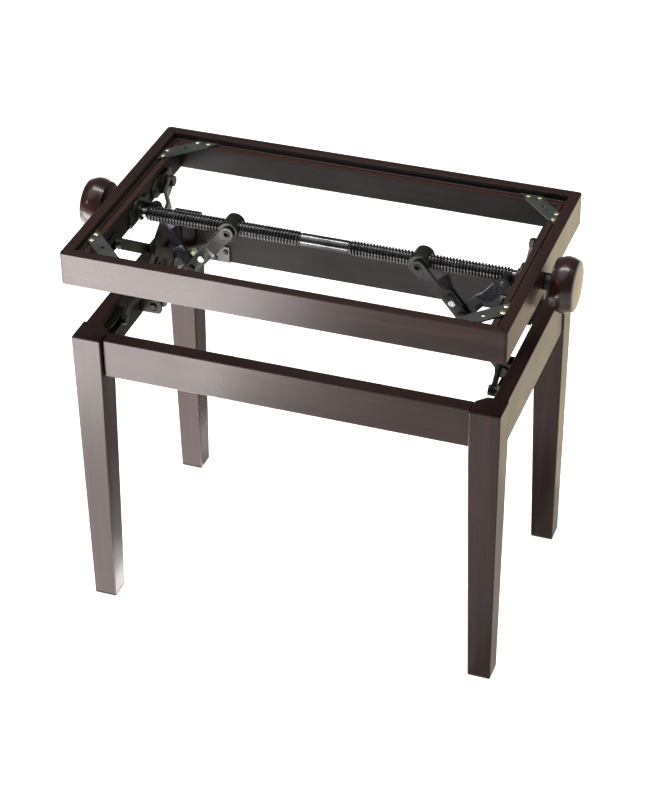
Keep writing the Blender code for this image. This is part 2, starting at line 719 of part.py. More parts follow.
def build_toggle_link(name, side):
    """The flat link from the bearing's lug down to the elbow."""
    start, end = LINK_JOG
    path = [
        (-LINK_HALF_WIDTH, LINK_HEAD_Y),
        (start, LINK_HEAD_Y),
        (end, 0.0),
        (HALF_ARM + LINK_HALF_WIDTH, 0.0),
    ]
    holes = [(0.0, PIN_RADIUS + RUNNING), (HALF_ARM, PIN_RADIUS + RUNNING)]
    turn = Matrix.Rotation(pi - ARM_ANGLE, 4, "Y")
    section = (LINK_HALF_WIDTH, LINK_THICKNESS)
    bent_bar(name, side, (LINK_X, 0.0, SPINDLE_HEIGHT), turn, path, section, holes)


def build_pins(suffix, side):
    """Elbow pin, foot pin and the riveted spacer of one pair of drive arms."""
    outer = ARM_INNER_Y + ARM_THICKNESS / 2
    radius, depth = PIN_HEAD
    head = -outer - RUNNING
    profile = rod_profile((PIN_RADIUS, head, outer + depth), (radius, head - depth, head))
    elbow = (ELBOW_X, 0.0, ELBOW_Z)
    turned(f"elbow_pin_{suffix}", profile, elbow, along_y(), side, "black_gloss")
    cheek = outer + CLEVIS_PLAY + CLEVIS_THICKNESS
    head = -cheek - GAP
    profile = rod_profile((PIN_RADIUS, head, cheek + FOOT_PIN_TAIL), (radius, head - FOOT_PIN_HEAD, head))
    foot = (LINK_X, 0.0, FOOT_Z)
    turned(f"foot_pin_{suffix}", profile, foot, along_y(), side, "black_gloss")
    back = HALF_ARM - SPACER_POSITION
    spacer = (ELBOW_X - back * cos(ARM_ANGLE), 0.0, ELBOW_Z + back * sin(ARM_ANGLE))
    inner = ARM_INNER_Y - ARM_THICKNESS / 2 - RUNNING
    outside = outer + RUNNING
    radius, depth = RIVET_HEAD
    profile = rod_profile(
        (radius, outside, outside + depth),
        (RIVET_RADIUS, inner, outside),
        (SPACER_RADIUS, -inner, inner),
        (RIVET_RADIUS, -outside, -inner),
        (radius, -outside - depth, -outside),
    )
    turned(f"arm_spacer_{suffix}", profile, spacer, along_y(), side, "zinc")


def build_nut(name, side):
    """A barrel nut across the spindle, with a stud at each end."""
    reach = ARM_OUTER_Y + ARM_THICKNESS / 2 + 2 * GAP
    profile = rod_profile(
        (NUT_STUD_RADIUS, NUT_HALF_LENGTH, reach),
        (NUT_RADIUS, -NUT_HALF_LENGTH, NUT_HALF_LENGTH),
        (NUT_STUD_RADIUS, -reach, -NUT_HALF_LENGTH),
    )
    place = (NUT_X, 0.0, SPINDLE_HEIGHT)
    nut = turned(name, profile, place, along_y(), side, "black_steel", LARGE_STEPS)
    profile = rod_profile((THREAD_RADIUS + 2 * RUNNING, -CUT_REACH, CUT_REACH))
    bore = turned(name + "_bore", profile, place, along_x(), side)
    combine(nut, bore, "DIFFERENCE")


def scissor_bar(name, side, place, angle, path, holes, pins):
    """One scissor arm in a plane of constant X, with its holes and its own pins.

    Holes and pins are placed by their distance along the arm from its origin.
    """
    turn = side_plane(angle) @ front_plane()
    section = (SCISSOR_HALF_WIDTH, SCISSOR_THICKNESS)
    bar = bent_bar(name, side, place, turn, path, section, holes)
    along = Vector((0.0, cos(angle), sin(angle)))
    for number, (distance, sections) in enumerate(pins):
        spot = Vector(place) + along * distance
        pin = turned(f"{name}_pin_{number}", rod_profile(*sections), spot, along_x(), side)
        combine(bar, pin, "UNION")


def build_scissor(suffix, side):
    """The two crossed arms of one end, between seat frame and base."""
    length = SCISSOR_LENGTH
    middle = length / 2
    start, end = SCISSOR_JOG
    reach = SCISSOR_HALF_WIDTH
    radius, height = SCISSOR_RIVET_HEAD
    clear = CHANNEL_WALL + 2 * GAP
    seat_back = SEAT_INNER_X - GAP - clear
    base_back = BASE_INNER_X - GAP - clear
    inside = SCISSOR_THICKNESS / 4
    rivet = (radius, SCISSOR_OUTER_LOW - height, SCISSOR_OUTER_LOW + inside)
    cross = [
        (PIN_RADIUS, SCISSOR_INNER_HIGH - inside, SCISSOR_OUTER_HIGH + 4 * GAP),
        (radius, SCISSOR_INNER_LOW - height, SCISSOR_INNER_HIGH - inside),
    ]
    foot = [(ROLLER_RADIUS, SCISSOR_OUTER_LOW + inside, base_back), rivet]
    head = [(ROLLER_RADIUS, SCISSOR_OUTER_LOW + inside, seat_back), rivet]
    jogged = [
        (-reach, SCISSOR_OUTER_X),
        (start, SCISSOR_OUTER_X),
        (end, SCISSOR_INNER_X),
        (length - end, SCISSOR_INNER_X),
        (length - start, SCISSOR_OUTER_X),
        (length + reach, SCISSOR_OUTER_X),
    ]
    scissor_bar(
        f"scissor_arm_{suffix}_a",
        side,
        (0.0, SCISSOR_PIVOT_Y, SPINDLE_HEIGHT),
        -SCISSOR_ANGLE,
        jogged,
        [(0.0, PIN_RADIUS + RUNNING)],
        [(middle, cross), (length, foot)],
    )
    scissor_bar(
        f"scissor_arm_{suffix}_b",
        side,
        (0.0, CROSS_Y, CROSS_Z),
        SCISSOR_ANGLE,
        [(-middle - reach, SCISSOR_OUTER_X), (middle + reach, SCISSOR_OUTER_X)],
        [(-middle, PIN_RADIUS + SCISSOR_SLACK), (0.0, PIN_RADIUS + RUNNING)],
        [(middle, head)],
    )


def build_scissor_mounts(suffix, side):
    """Fixed pivots in front and roller channels behind, above and below."""
    seat = (side, SEAT_INNER_X, SPINDLE_HEIGHT)
    base = (side, BASE_INNER_X, SCISSOR_LOW_Z)
    build_pivot_bracket(f"upper_pivot_{suffix}", *seat, UPPER_PIVOT_BULGE, UPPER_SHOULDER_RADIUS)
    build_pivot_bracket(f"lower_pivot_{suffix}", *base, LOWER_PIVOT_BULGE, LOWER_SHOULDER_RADIUS)
    build_channel(f"upper_channel_{suffix}", *seat, GAP)
    build_channel(f"lower_channel_{suffix}", *base, SCISSOR_SLACK)


# Spindle and knobs ----------------------------------------------------------
def build_spindle():
    """The spindle: journals, two threaded lengths and a plain middle."""
    profile = rod_profile(
        (JOURNAL_RADIUS, THREAD_END, SPINDLE_END),
        (THREAD_RADIUS, THREAD_START, THREAD_END),
        (SPINDLE_RADIUS, -THREAD_START, THREAD_START),
        (THREAD_RADIUS, -THREAD_END, -THREAD_START),
        (JOURNAL_RADIUS, -SPINDLE_END, -THREAD_END),
    )
    turned("spindle", profile, (0.0, 0.0, SPINDLE_HEIGHT), along_x(), None, "black_gloss", LARGE_STEPS)


def build_knob(suffix, side):
    """A turned wooden knob with a barrel-shaped side, and the collar behind it."""
    place = (0.0, 0.0, SPINDLE_HEIGHT)
    middle = (KNOB_START + KNOB_END) / 2
    front, widest, rear = KNOB_BELLY
    bore = JOURNAL_RADIUS + RUNNING
    profile = [
        (0.0, KNOB_END + KNOB_DOME),
        (KNOB_FACE_RADIUS / 2, KNOB_END + 0.7 * KNOB_DOME),
        (KNOB_FACE_RADIUS - KNOB_DOME, KNOB_END),
        (KNOB_FACE_RADIUS, KNOB_END - KNOB_DOME),
        (KNOB_RADIUS - KNOB_DOME, middle + front),
        (KNOB_RADIUS, middle + widest),
        (KNOB_RADIUS - KNOB_DOME, middle + rear),
        (KNOB_BACK_RADIUS + KNOB_DOME, KNOB_START + KNOB_DOME),
        (KNOB_BACK_RADIUS, KNOB_START),
        (bore, KNOB_START),
        (bore, SPINDLE_END + GAP),
        (0.0, SPINDLE_END + GAP),
    ]
    turned(f"knob_{suffix}", profile, place, along_x(), side, "knob_wood", LARGE_STEPS)
    low, high = SEAT_LENGTH / 2 + GAP, KNOB_START - GAP
    ring = [(COLLAR_RADIUS, high), (COLLAR_RADIUS, low), (bore, low), (bore, high)]
    turned(f"knob_collar_{suffix}", ring, place, along_x(), side, "black_plastic", LARGE_STEPS)


def build_lifting_unit(suffix, angle):
    """Everything at one end of the bench, turned about Z into its place."""
    side = bpy.data.objects.new(f"side_{suffix}", None)
    side.rotation_euler.z = angle
    CUTTERS.objects.link(side)
    build_clevis(f"lift_clevis_{suffix}", side)
    build_bearing(f"spindle_bearing_{suffix}", side)
    build_scissor_mounts(suffix, side)
    build_scissor(suffix, side)
    build_toggle_link(f"toggle_link_{suffix}", side)
    build_drive_arms(suffix, side)
    build_pins(suffix, side)
    build_nut(f"trunnion_nut_{suffix}", side)
    build_knob(suffix, side)


def main():
    """Build the whole bench."""
    for corner, sx, sy in (("fl", -1, -1), ("fr", 1, -1), ("bl", -1, 1), ("br", 1, 1)):
        build_leg(f"leg_{corner}", sx, sy)
        build_leg_plate(f"leg_plate_{corner}", sx, sy)
        build_leg_bolt(f"leg_bolt_{corner}", sx, sy)
        build_seat_plate(f"seat_plate_{corner}", sx, sy)
    build_aprons()
    build_seat_rails()
    build_spindle()
    build_lifting_unit("r", 0.0)
    build_lifting_unit("l", pi)


main()
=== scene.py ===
"""The looks of a height-adjustable piano bench frame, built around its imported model."""

import json
from math import cos, floor, pi, radians, sin

import bmesh
import bpy
from mathutils import Matrix, Vector


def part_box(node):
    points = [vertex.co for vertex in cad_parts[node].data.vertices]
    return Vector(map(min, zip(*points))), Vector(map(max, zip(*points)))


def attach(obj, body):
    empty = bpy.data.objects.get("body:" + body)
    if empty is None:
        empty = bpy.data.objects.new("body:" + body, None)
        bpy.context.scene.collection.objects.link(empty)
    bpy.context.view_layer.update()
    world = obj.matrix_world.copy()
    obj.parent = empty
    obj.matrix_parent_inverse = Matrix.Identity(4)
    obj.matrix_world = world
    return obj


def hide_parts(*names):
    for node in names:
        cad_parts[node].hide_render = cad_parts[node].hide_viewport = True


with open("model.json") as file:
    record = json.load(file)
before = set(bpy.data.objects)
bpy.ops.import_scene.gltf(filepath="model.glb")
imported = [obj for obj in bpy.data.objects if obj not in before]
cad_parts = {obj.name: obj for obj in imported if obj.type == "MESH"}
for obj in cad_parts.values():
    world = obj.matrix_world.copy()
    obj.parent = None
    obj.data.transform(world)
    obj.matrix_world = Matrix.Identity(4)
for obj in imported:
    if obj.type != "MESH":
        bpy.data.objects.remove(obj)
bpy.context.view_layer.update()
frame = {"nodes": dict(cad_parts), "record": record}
NODES = frame["nodes"]
SIDES = (("r", "right", 1), ("l", "left", -1))
CORNERS = (("fl", -1, -1), ("fr", 1, -1), ("bl", -1, 1), ("br", 1, 1))

# The spindle: its threads, its plain middle and its journals
PITCH = 0.004
THREAD_DEPTH = 0.0023
THREAD_CREST = 1.35
THREAD_STEPS = 28
THREAD_SAMPLES = 8
THREAD_START = 0.031
THREAD_END = 0.2348
MIDDLE_RELIEF = 0.0012
JOURNAL_RADIUS = 0.0065
SPINDLE_CHAMFER = 0.0008
SPINDLE_OVERLAP = 0.0005

# The barrel nuts, with a round socket in each stud: the radius of its rim, then
# its radii below the rim and at the bottom and its depth
NUT_HALF_LENGTH = 0.0138
NUT_STUD_RADIUS = 0.005
NUT_CHAMFER = 0.0010
NUT_STUD_CHAMFER = 0.0004
NUT_SOCKET_RIM = 0.0033
NUT_SOCKET = (0.0029, 0.0026, 0.0030)
NUT_BORE_RADIUS = 0.0098
NUT_BORE_REACH = 0.03

# Heads of the fasteners: radius and height
PLATE_SCREW = (0.0036, 0.0012)
BLACK_SCREW = (0.0040, 0.0018)
SOCKET_HEAD = (0.0046, 0.0010)
RIVET_HEAD = (0.0041, 0.0006)

# Where the fasteners sit: across a corner of the seat frame, on an apron,
# along a pivot plate from its middle, and along a bearing plate
PLATE_SCREWS = ((0.2557, 0.1035), (0.2557, 0.1175), (0.2120, 0.1490), (0.2265, 0.1490))
APRON_SCREWS = ((0.1894, 0.3610), (0.2046, 0.3500))
PIVOT_SCREWS = (-0.0225, 0.0205)
BEARING_SCREWS = (-0.0225, 0.0225)
SCREW_TURN = 0.7
CROSS_TURN = 0.4
LINK_STUD_REACH = 0.0209
PIVOT_THICKNESS = 0.0020
BEARING_THICKNESS = 0.0035

# The knobs: radii at the face's edge and at the back, how the face bulges and
# its edges are rounded, how the side swells between its two ends, and the
# spindle's hole
KNOB_FACE_RADIUS = 0.0312
KNOB_BACK_RADIUS = 0.0306
KNOB_DOME = 0.0012
KNOB_FACE_EDGE = 0.0016
KNOB_BACK_EDGE = 0.0012
KNOB_EDGE_LIFT = 0.0002
KNOB_SWELL_FRONT = 0.0026
KNOB_SWELL_BACK = 0.0018
KNOB_SWELL_STEPS = 12
KNOB_SWELL_SKEW = 0.85
KNOB_BORE = 0.0067
KNOB_BORE_DEPTH = 0.0145

# Rounding of the CAD shapes' edges, and the angle from which an edge is sharp
WOOD_EDGE = 0.0008
RAIL_EDGE = 0.0004
SHEET_EDGE = 0.0003
BAR_EDGE = 0.0004
SPACER_EDGE = 0.0002
COLLAR_EDGE = 0.0008
EDGE_ANGLE = 35
THREAD_ANGLE = 60
FLAT_ANGLE = 1
WELD_DISTANCE = 0.000002

# Faces that take another wood: how squarely they face a direction, and how far
# a ledge face may lie above the seat plates' underside
FACING = 0.9
LEDGE_MARGIN = 0.001

# Wood: noise scales along and across the grain, and depths of the relief
FIGURE = (1.2, 22.0)
GRAIN = (3.5, 110.0)
PORES = (38.0, 900.0)
RIPPLE = (6.0, 60.0)
STREAK_SHARE = 0.55
DEEP_SHADE = 0.45
RIPPLE_DEPTH = 0.00012
PORE_DEPTH = 0.00006
LACQUER_IOR = 1.32
COAT_ROUGHNESS = 0.28
SATIN = (0.26, 0.36)
MATTE = (0.62, 0.74)

# Metal and plastic: noise scales of the clouding, the marks and the fine relief
STEEL_NOISE = (35.0, 160.0, 700.0)
STEEL_RELIEF = 0.00004
ZINC_NOISE = (240.0, 420.0, 900.0)
ZINC_RELIEF = 0.00003
PLASTIC_NOISE = (90.0, 1500.0)
PLASTIC_RELIEF = 0.00004

# Studio: the floor, the sky, and the sun's direction, strength and spread
FLOOR_SIZE = 45.0
FLOOR_GLOW = 0.85
SKY = 0.22
SUN = ((0.25, 0.18, -0.92), 1.1, 60)

# Softboxes: centre, size, radiance, colour, and a target if they don't face up
SOFTBOXES = {
    "front_far": ((-0.97, -1.05, 0.003), (1.42, 1.00), 19.0, (1.0, 0.94, 0.93), None),
    "front_near": ((-0.64, -0.205, 0.003), (0.84, 0.69), 5.3, (1.0, 0.91, 0.88), None),
    "ceiling": ((0.0, 0.15, 2.0), (1.60, 0.14), 36.0, (1.0, 0.97, 0.92), (0.0, 0.0, 0.4)),
    "knob_spot": ((-1.6, -1.5, 1.5), (0.13, 0.13), 90.0, (1.0, 1.0, 1.0), (-0.28, 0.0, 0.48)),
}

# Glowing cards on the floor that show only in reflections: centre, size and radiance
CARDS = {
    # The warm and near cards are painted reflections: a warm, lit floor seen in the lacquer.
    "warm_reflection_card": ((0.90, 1.05, 0.004), (1.32, 1.60), (1.50, 1.28, 0.95)),
    "near_reflection_card": ((0.57, -0.03, 0.004), (0.66, 0.56), (0.95, 0.84, 0.68)),
    # The back and under cards are painted shadow: the bench's shadow on the floor, seen only in
    # reflections.
    "back_shadow_card": ((-0.13, 0.66, 0.004), (0.74, 0.68), (0.50, 0.45, 0.38)),
    "under_shadow_card": ((0.02, 0.13, 0.004), (0.44, 0.38), (0.34, 0.30, 0.26)),
}

# Camera: angles in degrees, distance, and focal length for a picture 650 wide
CAMERA_AZIMUTH = 20.102
CAMERA_ELEVATION = 34.566
CAMERA_ROLL = -0.858
CAMERA_TARGET = (-0.0039, 0.0, 0.2607)
CAMERA_DISTANCE = 2.9609
CAMERA_FOCAL = 2338.6
CAMERA_CLIP = 50.0
PICTURE_WIDTH = 650
SENSOR_WIDTH = 36.0


# Materials ------------------------------------------------------------------
class Graph:
    """A material's node graph around its Principled shader."""

    def __init__(self, name, colour=(0.5, 0.5, 0.5), roughness=0.5, metallic=0.0):
        self.material = bpy.data.materials.new(name)
        self.material.use_nodes = True
        self.tree = self.material.node_tree
        self.shader = self.tree.nodes["Principled BSDF"]
        self.set("Base Color", (*colour, 1.0))
        self.set("Roughness", roughness)
        self.set("Metallic", metallic)
        self.coordinates = self.node("ShaderNodeTexCoord").outputs["Object"]

    def set(self, name, value):
        """A value on the shader's own socket."""
        self.shader.inputs[name].default_value = value

    def node(self, kind, **settings):
        """A new node with some of its properties set."""
        node = self.tree.nodes.new(kind)
        for name, value in settings.items():
            setattr(node, name, value)
        return node

    def link(self, output, socket):
        """Join an output to an input."""
        self.tree.links.new(output, socket)

    def noise(self, scale, detail=3.0, stretch=(1, 1, 1), roughness=0.5, shift=(0, 0, 0)):
        """Noise in the object's own space, stretched along its axes."""
        mapping = self.node("ShaderNodeMapping")
        mapping.inputs["Scale"].default_value = stretch
        mapping.inputs["Location"].default_value = shift
        self.link(self.coordinates, mapping.inputs["Vector"])
        noise = self.node("ShaderNodeTexNoise")
        noise.inputs["Scale"].default_value = scale
        noise.inputs["Detail"].default_value = detail
        noise.inputs["Roughness"].default_value = roughness
        self.link(mapping.outputs["Vector"], noise.inputs["Vector"])
        return noise.outputs["Fac"]

    def remap(self, value, low, high, start=0.3, end=0.7):
        """A value from start..end spread over low..high."""
        remap = self.node("ShaderNodeMapRange")
        remap.inputs["From Min"].default_value = start
        remap.inputs["From Max"].default_value = end
        remap.inputs["To Min"].default_value = low
        remap.inputs["To Max"].default_value = high
        self.link(value, remap.inputs["Value"])
        return remap.outputs["Result"]

    def ramp(self, value, stops):
        """A colour ramp through (position, colour) stops."""
        ramp = self.node("ShaderNodeValToRGB")
        elements = ramp.color_ramp.elements
        while len(elements) < len(stops):
            elements.new(0.5)
        for element, (position, colour) in zip(elements, stops):
            element.position = position
            element.color = (*colour, 1.0)
        self.link(value, ramp.inputs["Fac"])
        return ramp.outputs["Color"]

    def mix(self, factor, first, second):
        """Two colour outputs mixed by a number or an output."""
        mix = self.node("ShaderNodeMix", data_type="RGBA")
        if isinstance(factor, float):
            mix.inputs["Factor"].default_value = factor
        else:
            self.link(factor, mix.inputs["Factor"])
        colours = [socket for socket in mix.inputs if socket.type == "RGBA"]
        self.link(first, colours[0])
        self.link(second, colours[1])
        return next(socket for socket in mix.outputs if socket.type == "RGBA")

    def bump(self, height, distance, strength=1.0, under=None):
        """A bump on the shader, over an earlier one."""
        bump = self.node("ShaderNodeBump")
        bump.inputs["Distance"].default_value = distance
        bump.inputs["Strength"].default_value = strength
        self.link(height, bump.inputs["Height"])
        if under is not None:
            self.link(under, bump.inputs["Normal"])
        self.link(bump.outputs["Normal"], self.shader.inputs["Normal"])
        return bump.outputs["Normal"]


def stretched(axis, along, across):
    """Mapping scales that draw a pattern out along one axis."""
    return tuple(along if index == axis else across for index in range(3))


def wood(name, axis, dark, light, roughness=SATIN, coat=0.0):
    """Stained hardwood under satin lacquer, with its grain along one axis."""
    graph = Graph(name)
    shift = (0.37 * (axis + 1), 0.61, 0.23)
    grain = graph.noise(1.0, 6.0, stretched(axis, *GRAIN), 0.62, shift)
    figure = graph.noise(1.0, 3.0, stretched(axis, *FIGURE), 0.55, shift)
    pores = graph.noise(1.0, 2.0, stretched(axis, *PORES), 0.5, shift)
    body = graph.ramp(figure, [(0.30, dark), (0.72, light)])
    deep = tuple(DEEP_SHADE * value for value in dark)
    streaks = graph.ramp(grain, [(0.33, deep), (0.50, dark), (0.72, light)])
    blend = graph.mix(STREAK_SHARE, body, streaks)
    pore_mask = graph.remap(pores, 0.0, 0.7, 0.60, 0.72)
    pore_colour = graph.node("ShaderNodeRGB").outputs["Color"]
    pore_colour.default_value = (*deep, 1.0)
    graph.link(graph.mix(pore_mask, blend, pore_colour), graph.shader.inputs["Base Color"])
    cloud = graph.noise(9.0, 4.0)
    graph.link(graph.remap(cloud, *roughness), graph.shader.inputs["Roughness"])
    waves = graph.noise(1.0, 2.0, stretched(axis, *RIPPLE))
    ripple = graph.bump(waves, RIPPLE_DEPTH, 0.5)
    graph.bump(pores, PORE_DEPTH, 0.6, ripple)
    graph.set("IOR", LACQUER_IOR)
    graph.set("Coat Weight", coat)
    graph.set("Coat Roughness", COAT_ROUGHNESS)
    return graph.material


def painted_steel(name, dark, light, roughness, metallic, ior=1.5):
    """Black finish on pressed steel: an uneven sheen with faint dust and rub marks."""
    graph = Graph(name, dark, roughness[0], metallic)
    graph.set("IOR", ior)
    cloud_scale, mark_scale, relief_scale = STEEL_NOISE
    cloud = graph.noise(cloud_scale, 5.0, roughness=0.6)
    graph.link(graph.ramp(cloud, [(0.35, dark), (0.70, light)]), graph.shader.inputs["Base Color"])
    marks = graph.noise(mark_scale, 4.0, (1.0, 1.0, 0.25), 0.7)
    graph.link(graph.remap(marks, *roughness), graph.shader.inputs["Roughness"])
    graph.bump(graph.noise(relief_scale, 2.0), STEEL_RELIEF, 0.6)
    return graph.material


def zinc(name, clear, tinted, roughness=(0.18, 0.36)):
    """Passivated zinc plating with its uneven tint."""
    graph = Graph(name, clear, roughness[0], 1.0)
    tint_scale, mark_scale, relief_scale = ZINC_NOISE
    tint = graph.noise(tint_scale, 3.0)
    graph.link(graph.ramp(tint, [(0.40, clear), (0.66, tinted)]), graph.shader.inputs["Base Color"])
    marks = graph.noise(mark_scale, 4.0)
    graph.link(graph.remap(marks, *roughness), graph.shader.inputs["Roughness"])
    graph.bump(graph.noise(relief_scale, 2.0), ZINC_RELIEF, 0.5)
    return graph.material


def plastic(name, colour, roughness=(0.42, 0.58)):
    """Moulded black plastic with a fine texture."""
    graph = Graph(name, colour, roughness[0])
    fleck_scale, relief_scale = PLASTIC_NOISE
    fleck = graph.noise(fleck_scale, 4.0)
    lighter = tuple(1.6 * value + 0.004 for value in colour)
    graph.link(graph.ramp(fleck, [(0.4, colour), (0.7, lighter)]), graph.shader.inputs["Base Color"])
    graph.link(graph.remap(fleck, *roughness), graph.shader.inputs["Roughness"])
    graph.bump(graph.noise(relief_scale, 2.0), PLASTIC_RELIEF, 0.6)
    return graph.material


def floor_material():
    """Plain white studio floor, lit from below as a light table is."""
    graph = Graph("studio_floor", (0.90, 0.90, 0.90), 0.7)
    cloud = graph.noise(3.0, 2.0)
    graph.link(graph.remap(cloud, 0.65, 0.75), graph.shader.inputs["Roughness"])
    graph.set("Emission Color", (1.0, 1.0, 1.0, 1.0))
    graph.set("Emission Strength", FLOOR_GLOW)
    return graph.material


def card_material(name, radiance):
    """An evenly glowing card: painted light that shows only in reflections."""
    graph = Graph(name, (0.0, 0.0, 0.0), 1.0)
    graph.set("Emission Color", (*radiance, 1.0))
    graph.set("Emission Strength", 1.0)
    return graph.material


AXES = "xyz"
WOOD_DARK = (0.012, 0.0050, 0.0040)
WOOD_LIGHT = (0.036, 0.0125, 0.0085)
# A darker, greyer wood for the faces of aprons and rails that turn inward
INNER_DARK = (0.0060, 0.0050, 0.0045)
INNER_LIGHT = (0.0130, 0.0105, 0.0095)
LEDGE_DARK = (0.016, 0.0048, 0.0034)
LEDGE_LIGHT = (0.042, 0.0135, 0.0085)
KNOB_DARK = (0.011, 0.0034, 0.0028)
KNOB_LIGHT = (0.027, 0.0072, 0.0052)


def woods(name, axes, dark, light, roughness=SATIN):
    """The same wood with its grain along each of the first axes."""
    return [wood(f"{name}_{AXES[axis]}", axis, dark, light, roughness) for axis in range(axes)]


WOODS = woods("mahogany", 3, WOOD_DARK, WOOD_LIGHT)
INNER_WOODS = woods("inward_dark_matte", 2, INNER_DARK, INNER_LIGHT, MATTE)
LEDGE_WOODS = woods("stained_ledge", 2, LEDGE_DARK, LEDGE_LIGHT, MATTE)
KNOB_WOOD = wood("mahogany_knob", 0, KNOB_DARK, KNOB_LIGHT, (0.20, 0.28), 0.25)
PLATE_STEEL = painted_steel(
    "plate_steel", (0.026, 0.030, 0.028), (0.050, 0.057, 0.053), (0.34, 0.48), 0.25
)
ARM_STEEL = painted_steel(
    "arm_steel", (0.016, 0.016, 0.017), (0.034, 0.033, 0.034), (0.26, 0.38), 0.60
)
LINK_STEEL = painted_steel(
    "link_steel", (0.010, 0.010, 0.014), (0.022, 0.022, 0.029), (0.20, 0.30), 0.60
)
BRACKET_STEEL = painted_steel(
    "bracket_steel", (0.008, 0.009, 0.007), (0.020, 0.021, 0.017), (0.28, 0.42), 0.45, 1.32
)
SPINDLE_STEEL = painted_steel(
    "spindle_steel", (0.050, 0.050, 0.052), (0.110, 0.110, 0.114), (0.14, 0.22), 0.95
)
SCREW_STEEL = painted_steel(
    "screw_steel", (0.010, 0.010, 0.010), (0.030, 0.030, 0.028), (0.25, 0.40), 0.50
)
BLACK_PLASTIC = plastic("black_plastic", (0.003, 0.003, 0.003))
BRIGHT_ZINC = zinc("bright_zinc", (0.80, 0.80, 0.80), (0.70, 0.71, 0.68))
YELLOW_ZINC = zinc("yellow_zinc", (0.66, 0.62, 0.34), (0.78, 0.80, 0.62))
GREEN_ZINC = zinc("green_zinc", (0.42, 0.46, 0.36), (0.66, 0.68, 0.52))


# Pieces ---------------------------------------------------------------------
def body_of(node):
    """The body that a CAD node belongs to."""
    bodies = frame["record"]["behaviour"]["bodies"]
    return next(body for body, nodes in bodies.items() if node in nodes)


def add_piece(name, mesh, body, material=None, matrix=None):
    """Put a mesh in the scene as a piece of the object."""
    piece = bpy.data.objects.new(name, mesh)
    if matrix is not None:
        piece.matrix_world = matrix
    bpy.context.scene.collection.objects.link(piece)
    if material is not None:
        mesh.materials.clear()
        mesh.materials.append(material)
    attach(piece, body)
    return piece


def smooth(mesh, angle=EDGE_ANGLE):
    """Smooth shading, apart from edges sharper than the angle."""
    mesh.shade_smooth()
    mesh.set_sharp_from_angle(angle=radians(angle))


def refine(node, material, width, segments=2):
    """A CAD node's shape with rounded edges, standing for the node."""
    mesh = NODES[node].data.copy()
    shape = bmesh.new()
    shape.from_mesh(mesh)
    bmesh.ops.remove_doubles(shape, verts=shape.verts, dist=WELD_DISTANCE)
    flat = radians(FLAT_ANGLE)
    bmesh.ops.dissolve_limit(shape, angle_limit=flat, verts=shape.verts, edges=shape.edges)
    shape.to_mesh(mesh)
    shape.free()
    smooth(mesh)
    piece = add_piece("fine_" + node, mesh, body_of(node), material)
    bevel = piece.modifiers.new("edges", "BEVEL")
    bevel.width = width
    bevel.segments = segments
    bevel.limit_method = "ANGLE"
    bevel.angle_limit = radians(EDGE_ANGLE)
    bevel.harden_normals = True
    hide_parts(node)
    return piece


def revolved(profile, steps):
    """A shape of revolution about local Z from (radius, height) points.

    The profile starts and ends on the axis, so that the shape is closed.
    """
    shape = bmesh.new()
    rings = []
    for radius, height in profile:
        if radius == 0.0:
            rings.append([shape.verts.new((0.0, 0.0, height))])
            continue
        turns = [2 * pi * step / steps for step in range(steps)]
        points = [(radius * cos(turn), radius * sin(turn), height) for turn in turns]
        rings.append([shape.verts.new(point) for point in points])
    for upper, lower in zip(rings, rings[1:]):
        for step in range(steps):
            following = (step + 1) % steps
            if len(upper) == 1:
                shape.faces.new((upper[0], lower[step], lower[following]))
            elif len(lower) == 1:
                shape.faces.new((upper[step], lower[0], upper[following]))
            else:
                shape.faces.new((upper[step], lower[step], lower[following], upper[following]))
    return shape


def as_mesh(name, shape, angle=EDGE_ANGLE):
    """A finished mesh from a bmesh, with its faces pointing out."""
    bmesh.ops.recalc_face_normals(shape, faces=shape.faces)
    mesh = bpy.data.meshes.new(name)
    shape.to_mesh(mesh)
    shape.free()
    smooth(mesh, angle)
    return mesh


def arc(centre, radius, start, end, steps):
    """Points of a circular arc, angles in degrees."""
    angles = [radians(start + (end - start) * step / steps) for step in range(steps + 1)]
    return [(centre[0] + radius * cos(a), centre[1] + radius * sin(a)) for a in angles]


def cut(mesh, tools):
    """The mesh with other meshes cut out of it, given as (mesh, matrix) pairs."""
    base = bpy.data.objects.new("base", mesh)
    bpy.context.scene.collection.objects.link(base)
    helpers = []
    for tool_mesh, matrix in tools:
        tool = bpy.data.objects.new("tool", tool_mesh)
        tool.matrix_world = matrix
        bpy.context.scene.collection.objects.link(tool)
        helpers.append(tool)
        modifier = base.modifiers.new("cut", "BOOLEAN")
        modifier.operation = "DIFFERENCE"
        modifier.object = tool
    bpy.context.view_layer.update()
    evaluated = base.evaluated_get(bpy.context.evaluated_depsgraph_get())
    result = bpy.data.meshes.new_from_object(evaluated)
    for helper in [base] + helpers:
        bpy.data.objects.remove(helper, do_unlink=True)
    smooth(result)
    return result


def block(size):
    """A box mesh of some size about its origin."""
    shape = bmesh.new()
    bmesh.ops.create_cube(shape, size=1.0, matrix=Matrix.Diagonal((*size, 1.0)))
    return as_mesh("block", shape)


def prism(sides, radius, height):
    """A regular prism about the origin."""
    half = height / 2
    profile = [(0.0, half), (radius, half), (radius, -half), (0.0, -half)]
    return as_mesh("prism", revolved(profile, sides))


def screw_head(name, radius, height, recess):
    """A domed head on the plane z = 0 with a cross or hexagon recess."""
    crown = height * 0.55
    profile = [(0.0, height), (radius * 0.45, height * 0.97), (radius * 0.78, height * 0.80)]
    profile += [(radius * 0.95, crown), (radius, crown * 0.45), (radius * 0.98, 0.0), (0.0, 0.0)]
    head = as_mesh(name, revolved(profile, 28))
    depth = height * 0.75
    top = Matrix.Translation((0, 0, height))
    if recess == "cross":
        arm = (radius * 1.05, radius * 0.26, 2 * depth)
        turns = (CROSS_TURN, CROSS_TURN + pi / 2)
        tools = [(block(arm), top @ Matrix.Rotation(turn, 4, "Z")) for turn in turns]
    else:
        tools = [(prism(6, radius * 0.48, 2 * depth), top)]
    return cut(head, tools)


